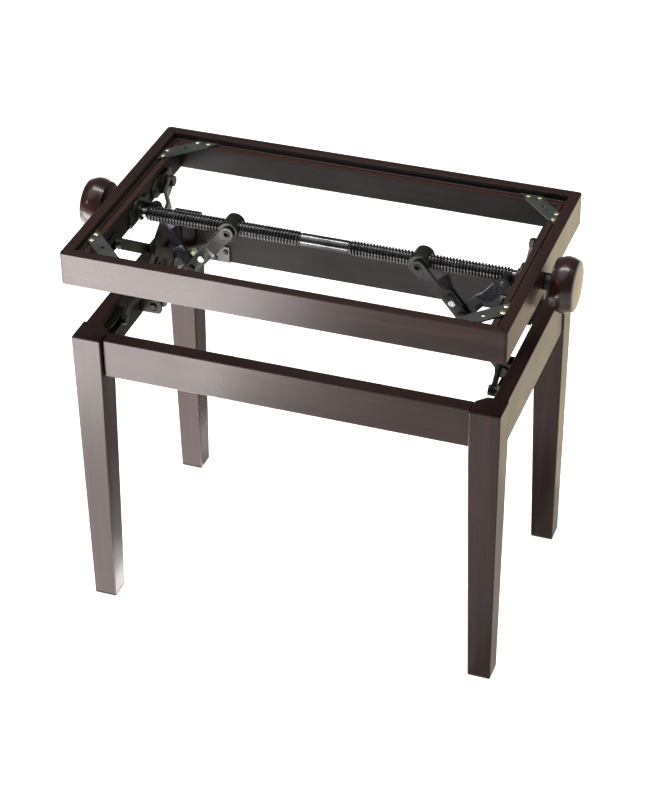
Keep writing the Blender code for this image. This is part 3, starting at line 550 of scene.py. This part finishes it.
def screw_kind(name, measures, recess, material):
    """A fastener head of a radius and a height, in its material."""
    radius, height = measures
    mesh = screw_head(name, radius, height, recess)
    mesh.materials.append(material)
    return mesh


def towards(direction):
    """A rotation that points local Z along a direction."""
    return Vector(direction).to_track_quat("Z", "Y").to_matrix().to_4x4()


def place_fastener(name, mesh, point, direction, body, spin=0.0):
    """One fastener whose head sits on a surface point."""
    matrix = Matrix.Translation(point) @ towards(direction) @ Matrix.Rotation(spin, 4, "Z")
    return add_piece(name, mesh, body, matrix=matrix)


# Woodwork -------------------------------------------------------------------
def finish_faces(piece, material, chosen):
    """Give the faces of a piece that a test chooses another material."""
    piece.data.materials.append(material)
    index = len(piece.data.materials) - 1
    for face in piece.data.polygons:
        if chosen(face):
            face.material_index = index


def dress_wood():
    """Legs, aprons and seat rails with softly rounded edges and grain along their length."""
    for corner, _, _ in CORNERS:
        refine(f"leg_{corner}", WOODS[2], WOOD_EDGE, 3)
    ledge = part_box("seat_plate_fl")[0].z + LEDGE_MARGIN
    inward = {"front": (0, 1, 0), "back": (0, -1, 0), "left": (1, 0, 0), "right": (-1, 0, 0)}
    for name, direction in inward.items():
        axis = 0 if name in ("front", "back") else 1
        normal = Vector(direction)
        apron = refine(f"apron_{name}", WOODS[axis], WOOD_EDGE, 3)
        rail = refine(f"seat_rail_{name}", WOODS[axis], RAIL_EDGE, 3)
        for piece in (apron, rail):
            # Faces turned inward take the darker, matte wood
            finish_faces(piece, INNER_WOODS[axis], lambda face: face.normal.dot(normal) > FACING)
        finish_faces(
            rail,
            LEDGE_WOODS[axis],
            lambda face: face.normal.z > FACING and face.center.z < ledge,
        )


def build_knobs():
    """Turned knobs with a barrel-shaped side, a crisp face edge and a faint dome."""
    for side, _, sign in SIDES:
        low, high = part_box(f"knob_{side}")
        centre = (low + high) / 2
        radius = (high.z - low.z) / 2
        depth = high.x - low.x
        rim = depth - KNOB_DOME
        parts = (0.0, 0.25, 0.5, 0.7, 0.85)
        profile = [(radius * part, depth - KNOB_DOME * part**2) for part in parts]
        middle = (KNOB_FACE_RADIUS - KNOB_FACE_EDGE, rim - KNOB_FACE_EDGE - KNOB_EDGE_LIFT)
        profile += arc(middle, KNOB_FACE_EDGE, 80, 15, 5)
        front = rim - KNOB_SWELL_FRONT
        for step in range(1, KNOB_SWELL_STEPS):
            along = step / KNOB_SWELL_STEPS
            swell = sin(pi * along**KNOB_SWELL_SKEW)
            edge = KNOB_FACE_RADIUS + (KNOB_BACK_RADIUS - KNOB_FACE_RADIUS) * along
            height = front - along * (front - KNOB_SWELL_BACK)
            profile.append((edge + (radius - edge) * swell, height))
        middle = (KNOB_BACK_RADIUS - KNOB_BACK_EDGE, KNOB_BACK_EDGE + KNOB_EDGE_LIFT)
        profile += arc(middle, KNOB_BACK_EDGE, 0, -90, 5)
        profile += [(KNOB_BORE, 0.0), (KNOB_BORE, KNOB_BORE_DEPTH), (0.0, KNOB_BORE_DEPTH)]
        mesh = as_mesh(f"knob_{side}", revolved(profile, 72))
        start = centre - Vector((sign * depth / 2, 0.0, 0.0))
        matrix = Matrix.Translation(start) @ towards((sign, 0, 0))
        piece = add_piece(f"turned_knob_{side}", mesh, "spindle", KNOB_WOOD, matrix)
        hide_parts(f"knob_{side}")


# Hardware -------------------------------------------------------------------
def dress_hardware():
    """Pressed and turned steel pieces with rounded edges."""
    for corner, _, _ in CORNERS:
        refine(f"seat_plate_{corner}", PLATE_STEEL, SHEET_EDGE)
        refine(f"leg_plate_{corner}", PLATE_STEEL, SHEET_EDGE)
        refine(f"leg_bolt_{corner}", GREEN_ZINC, SHEET_EDGE)
    for side, _, _ in SIDES:
        for name in ("lower_channel", "upper_channel"):
            refine(f"{name}_{side}", BRACKET_STEEL, SHEET_EDGE)
        for name in ("lower_pivot", "upper_pivot", "spindle_bearing", "lift_clevis"):
            refine(f"{name}_{side}", BRACKET_STEEL, SHEET_EDGE)
        for letter in "ab":
            refine(f"scissor_arm_{side}_{letter}", BRACKET_STEEL, BAR_EDGE)
            refine(f"drive_arm_{side}_{letter}", ARM_STEEL, BAR_EDGE)
        refine(f"toggle_link_{side}", LINK_STEEL, BAR_EDGE)
        refine(f"elbow_pin_{side}", BRACKET_STEEL, BAR_EDGE)
        refine(f"foot_pin_{side}", BRACKET_STEEL, BAR_EDGE)
        refine(f"arm_spacer_{side}", BRIGHT_ZINC, SPACER_EDGE)
        refine(f"knob_collar_{side}", BLACK_PLASTIC, COLLAR_EDGE, 3)


def thread_surface(start, end, hand, radius):
    """A threaded rod along local Z as one closed surface, its crests running as a helix."""
    shape = bmesh.new()
    count = int((end - start) / PITCH * THREAD_SAMPLES)
    rings = []
    for row in range(count + 1):
        height = start + (end - start) * row / count
        fade = min(1.0, (height - start) / PITCH, (end - height) / PITCH)
        ring = []
        for step in range(THREAD_STEPS):
            angle = 2 * pi * step / THREAD_STEPS
            phase = height / PITCH - hand * step / THREAD_STEPS
            wave = 0.5 + 0.5 * cos(2 * pi * (phase - floor(phase)))
            reach = radius - THREAD_DEPTH * (1.0 - min(1.0, THREAD_CREST * wave) * fade)
            ring.append(shape.verts.new((reach * cos(angle), reach * sin(angle), height)))
        rings.append(ring)
    for lower, upper in zip(rings, rings[1:]):
        for step in range(THREAD_STEPS):
            following = (step + 1) % THREAD_STEPS
            shape.faces.new((lower[step], lower[following], upper[following], upper[step]))
    for ring, height in ((rings[0], start), (rings[-1], end)):
        centre = shape.verts.new((0.0, 0.0, height))
        for step in range(THREAD_STEPS):
            shape.faces.new((centre, ring[step], ring[(step + 1) % THREAD_STEPS]))
    return as_mesh("thread", shape, THREAD_ANGLE)


def build_spindle():
    """The spindle: two threaded lengths, a plain middle and the journals."""
    low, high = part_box("spindle")
    centre = (low + high) / 2
    radius = (high.z - low.z) / 2
    reach = (high.x - low.x) / 2
    end, chamfer = THREAD_START, SPINDLE_CHAMFER
    plain, journal = radius - MIDDLE_RELIEF, JOURNAL_RADIUS
    middle = [(0.0, end), (plain - chamfer, end), (plain, end - chamfer)]
    middle += [(plain, chamfer - end), (plain - chamfer, -end), (0.0, -end)]
    place = Matrix.Translation(centre) @ towards((1, 0, 0))
    core = as_mesh("spindle_middle", revolved(middle, 48))
    rod = add_piece("spindle_middle", core, "spindle", SPINDLE_STEEL, place)
    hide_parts("spindle")
    for side, _, sign in SIDES:
        turn = Matrix.Translation(centre) @ towards((sign, 0, 0))
        mesh = thread_surface(THREAD_START - SPINDLE_OVERLAP, THREAD_END, sign, radius)
        add_piece(f"spindle_thread_{side}", mesh, "spindle", SPINDLE_STEEL, turn)
        profile = [(0.0, reach), (journal - chamfer, reach), (journal, reach - chamfer)]
        root = THREAD_END - SPINDLE_OVERLAP
        profile += [(journal, root), (0.0, root)]
        mesh = as_mesh(f"journal_{side}", revolved(profile, 40))
        add_piece(f"spindle_journal_{side}", mesh, "spindle", SPINDLE_STEEL, turn)


def build_nuts():
    """Barrel nuts with chamfered ends and the studs that carry the drive arms."""
    for side, word, _ in SIDES:
        node = f"trunnion_nut_{side}"
        low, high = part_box(node)
        centre = (low + high) / 2
        radius = (high.z - low.z) / 2
        reach = (high.y - low.y) / 2
        half, stud, edge = NUT_HALF_LENGTH, NUT_STUD_RADIUS, NUT_STUD_CHAMFER
        mouth, root, depth = NUT_SOCKET
        upper = [(0.0, reach - depth), (root, reach - depth), (mouth, reach - edge)]
        upper += [(NUT_SOCKET_RIM, reach), (stud - edge, reach), (stud, reach - edge), (stud, half)]
        inset = radius - NUT_CHAMFER
        rounding = arc((inset, half - NUT_CHAMFER), NUT_CHAMFER, 90, 0, 4)
        lower = [(distance, -height) for distance, height in reversed(upper)]
        profile = upper + [(inset, half)] + rounding
        profile += arc((inset, NUT_CHAMFER - half), NUT_CHAMFER, 0, -90, 4) + lower
        barrel = as_mesh(node, revolved(profile, 64))
        bore = prism(40, NUT_BORE_RADIUS, 2 * NUT_BORE_REACH)
        mesh = cut(barrel, [(bore, Matrix.Rotation(pi / 2, 4, "X"))])
        turn = Matrix.Rotation(-pi / 2, 4, "X") @ Matrix.Rotation(pi / 2, 4, "Z")
        matrix = Matrix.Translation(centre) @ turn
        body = f"nut_{word}"
        piece = add_piece(f"barrel_nut_{side}", mesh, body, BRACKET_STEEL, matrix)
        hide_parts(node)


def build_screws():
    """Wood screws of the steel plates, and the heads of the pins and rivets."""
    plate_head = screw_kind("plate_screw", PLATE_SCREW, "cross", YELLOW_ZINC)
    black_head = screw_kind("black_screw", BLACK_SCREW, "cross", SCREW_STEEL)
    for corner in CORNERS:
        screw_corner(corner, plate_head, black_head)
    socket_head = screw_kind("socket_head", SOCKET_HEAD, "hexagon", SCREW_STEEL)
    rivet_head = screw_kind("rivet_head", RIVET_HEAD, "hexagon", BRIGHT_ZINC)
    for side in SIDES:
        head_pins(side, socket_head, rivet_head)
        screw_side(side, black_head)


def screw_corner(corner, plate_head, black_head):
    """Screws of one seat plate and one leg plate."""
    corner, sx, sy = corner
    underside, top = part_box(f"seat_plate_{corner}")
    for number, (x, y) in enumerate(PLATE_SCREWS):
        name = f"plate_screw_{corner}_{number}"
        point = (sx * x, sy * y, top.z)
        place_fastener(name, plate_head, point, (0, 0, 1), "seat", SCREW_TURN * number)
    low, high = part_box(f"leg_plate_{corner}")
    thickness = top.z - underside.z
    face = high.y - thickness if sy > 0 else low.y + thickness
    for number, (x, z) in enumerate(APRON_SCREWS):
        name = f"apron_screw_{corner}_{number}"
        point = (sx * x, face, z)
        place_fastener(name, black_head, point, (0, -sy, 0), "base", number)


def head_pins(side, socket_head, rivet_head):
    """Socket heads of the elbow pin and the link's stud, and the spacer's rivet heads."""
    side, word, sign = side
    arms = f"drive_arms_{word}"
    low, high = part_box(f"elbow_pin_{side}")
    elbow = (low + high) / 2
    elbow.y = low.y if sign > 0 else high.y
    low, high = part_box(f"foot_pin_{side}")
    stud = (low + high) / 2
    stud.y = -sign * LINK_STUD_REACH
    stud.z = spindle_height()
    for node, point, body in (("elbow_pin", elbow, arms), ("spindle_bearing", stud, "seat")):
        name = f"socket_{node}_{side}"
        place_fastener(name, socket_head, point, (0, -sign, 0), body)
    low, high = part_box(f"arm_spacer_{side}")
    middle = (low + high) / 2
    _, height = RIVET_HEAD
    for way, face in ((-1, low.y), (1, high.y)):
        point = (middle.x, face - way * height, middle.z)
        place_fastener(f"rivet_head_{side}_{way + 1}", rivet_head, point, (0, way, 0), arms)


def screw_side(side, black_head):
    """Screws of the pivot plates and the bearing plate on one side."""
    side, _, sign = side
    for level, body in (("upper", "seat"), ("lower", "base")):
        low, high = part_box(f"{level}_pivot_{side}")
        wall = (high.x if sign > 0 else low.x) - sign * PIVOT_THICKNESS
        centre = (low + high) / 2
        for number, shift in enumerate(PIVOT_SCREWS):
            name = f"{level}_pivot_screw_{side}_{number}"
            point = (wall, centre.y + sign * shift, centre.z)
            place_fastener(name, black_head, point, (-sign, 0, 0), body, number)
    low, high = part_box(f"spindle_bearing_{side}")
    wall = (high.x if sign > 0 else low.x) - sign * BEARING_THICKNESS
    for number, shift in enumerate(BEARING_SCREWS):
        name = f"bearing_screw_{side}_{number}"
        point = (wall, shift, spindle_height())
        place_fastener(name, black_head, point, (-sign, 0, 0), "seat", number)


def spindle_height():
    """The height of the spindle's axis."""
    low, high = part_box("spindle")
    return (low.z + high.z) / 2


# Studio ---------------------------------------------------------------------
def look_at(point, target):
    """A rotation that points local -Z from a point to a target."""
    return (Vector(target) - Vector(point)).to_track_quat("-Z", "Y").to_matrix().to_4x4()


def add_softbox(name, centre, size, radiance, colour, target):
    """A rectangular light that the camera doesn't see. Without a target it faces up."""
    data = bpy.data.lights.new(name, "AREA")
    data.shape = "RECTANGLE"
    data.size, data.size_y = size
    data.energy = radiance * pi * size[0] * size[1]
    data.color = colour
    light = bpy.data.objects.new(name, data)
    aim = Vector(centre) + Vector((0, 0, 1)) if target is None else target
    light.matrix_world = Matrix.Translation(centre) @ look_at(centre, aim)
    light.visible_camera = False
    bpy.context.scene.collection.objects.link(light)


def add_sun(name, direction, strength, spread):
    """Broad soft light from far away, along a direction."""
    data = bpy.data.lights.new(name, "SUN")
    data.energy = strength
    data.angle = radians(spread)
    light = bpy.data.objects.new(name, data)
    light.matrix_world = look_at((0, 0, 0), direction)
    bpy.context.scene.collection.objects.link(light)


def add_card(name, centre, size, radiance):
    """A glowing card on the floor that shows only in reflections, painting light and shade into
    them: brighter cards paint a lit floor, dimmer ones the bench's shadow.
    """
    shape = bmesh.new()
    scale = Matrix.Diagonal((*size, 1.0, 1.0))
    bmesh.ops.create_grid(shape, x_segments=1, y_segments=1, size=0.5, matrix=scale)
    mesh = as_mesh(name, shape)
    mesh.materials.append(card_material(name, radiance))
    card = bpy.data.objects.new(name, mesh)
    card.location = centre
    card.visible_camera = False
    card.visible_diffuse = False
    card.visible_shadow = False
    bpy.context.scene.collection.objects.link(card)


def build_studio():
    """White floor, soft light from above, low softboxes in front on the left, and glowing cards that
    paint a lit floor and the bench's shadow into reflections.
    """
    shape = bmesh.new()
    bmesh.ops.create_grid(shape, x_segments=1, y_segments=1, size=FLOOR_SIZE)
    mesh = as_mesh("floor", shape)
    mesh.materials.append(floor_material())
    ground = bpy.data.objects.new("floor", mesh)
    bpy.context.scene.collection.objects.link(ground)
    world = bpy.data.worlds.new("studio")
    bpy.context.scene.world = world
    world.use_nodes = True
    background = world.node_tree.nodes["Background"]
    background.inputs["Color"].default_value = (1.0, 1.0, 1.0, 1.0)
    background.inputs["Strength"].default_value = SKY
    add_sun("overhead", *SUN)
    for name, settings in SOFTBOXES.items():
        add_softbox(name, *settings)
    for name, settings in CARDS.items():
        add_card(name, *settings)
    scene = bpy.context.scene
    scene.view_settings.view_transform = "Standard"
    scene.view_settings.look = "None"


def build_camera():
    """The view from the front right and above."""
    azimuth, elevation = radians(CAMERA_AZIMUTH), radians(CAMERA_ELEVATION)
    level = cos(elevation)
    back = Vector((sin(azimuth) * level, -cos(azimuth) * level, sin(elevation)))
    right = (-back).cross(Vector((0, 0, 1))).normalized()
    up = back.cross(right)
    turn = Matrix((right, up, back)).transposed().to_4x4()
    roll = Matrix.Rotation(radians(CAMERA_ROLL), 4, "Z")
    place = Matrix.Translation(Vector(CAMERA_TARGET) + back * CAMERA_DISTANCE)
    data = bpy.data.cameras.new("camera")
    data.sensor_fit = "HORIZONTAL"
    data.sensor_width = SENSOR_WIDTH
    data.lens = SENSOR_WIDTH * CAMERA_FOCAL / PICTURE_WIDTH
    data.clip_end = CAMERA_CLIP
    camera = bpy.data.objects.new("camera", data)
    camera.matrix_world = place @ turn @ roll
    bpy.context.scene.collection.objects.link(camera)
    bpy.context.scene.camera = camera


build_camera()
build_studio()
dress_wood()
build_knobs()
dress_hardware()
build_spindle()
build_nuts()
build_screws()
